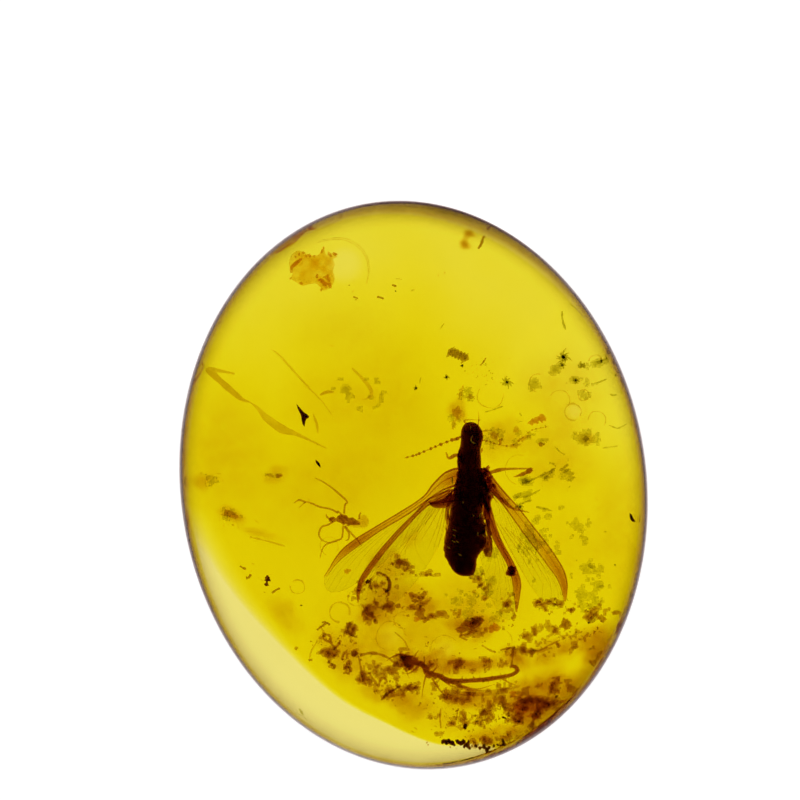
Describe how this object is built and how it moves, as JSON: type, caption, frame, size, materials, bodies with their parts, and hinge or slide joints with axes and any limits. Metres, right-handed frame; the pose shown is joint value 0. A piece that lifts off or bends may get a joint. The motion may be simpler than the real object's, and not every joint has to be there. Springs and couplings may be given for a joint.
{
  "type": "insect in amber",
  "caption": "Polished oval of clear yellow amber with a winged termite, a gnat and forest litter sealed in it; lies loose on its flat base.",
  "frame": {"origin": "middle of the flat base, on the surface the stone rests on", "axes": "+Z up from the flat base to the crown, +Y along the long axis of the oval, +X to the right when seen from above with +Y up"},
  "size_m": [0.0204, 0.025, 0.0068],
  "materials": {
    "amber": "polished",
    "chitin": "satin",
    "gnat_brown": "matte",
    "bark": "rough",
    "char": "matte",
    "rootlet": "matte",
    "frass": "matte",
    "litter_brown": "matte",
    "litter_dark": "matte"
  },
  "bodies": {
    "root": {"amber_top": "amber", "amber_base": "amber", "termite": "chitin", "gnat": "gnat_brown", "bark_flake": "bark", "char_chip_arrow": "char", "char_chip_speck": "char", "char_chip_edge": "char", "char_row_left": "char", "char_row_right": "char", "rootlet": "rootlet", "pellet": "frass", "crumb_01": "litter_dark", "crumb_02": "litter_brown", "crumb_03": "litter_brown", "crumb_04": "litter_dark", "crumb_05": "litter_dark", "crumb_06": "litter_dark", "crumb_07": "litter_brown", "crumb_08": "litter_brown", "crumb_09": "litter_dark", "crumb_10": "litter_brown", "crumb_11": "litter_brown", "crumb_12": "litter_dark", "crumb_13": "litter_dark", "crumb_14": "litter_dark", "crumb_15": "litter_brown", "crumb_16": "litter_brown", "crumb_17": "litter_brown", "crumb_18": "litter_dark", "crumb_19": "litter_dark", "crumb_20": "litter_brown", "crumb_21": "litter_dark", "crumb_22": "litter_brown", "crumb_23": "litter_brown", "crumb_24": "litter_dark", "crumb_25": "litter_brown", "crumb_26": "litter_brown", "crumb_27": "litter_brown"}
  },
  "joints": []
}
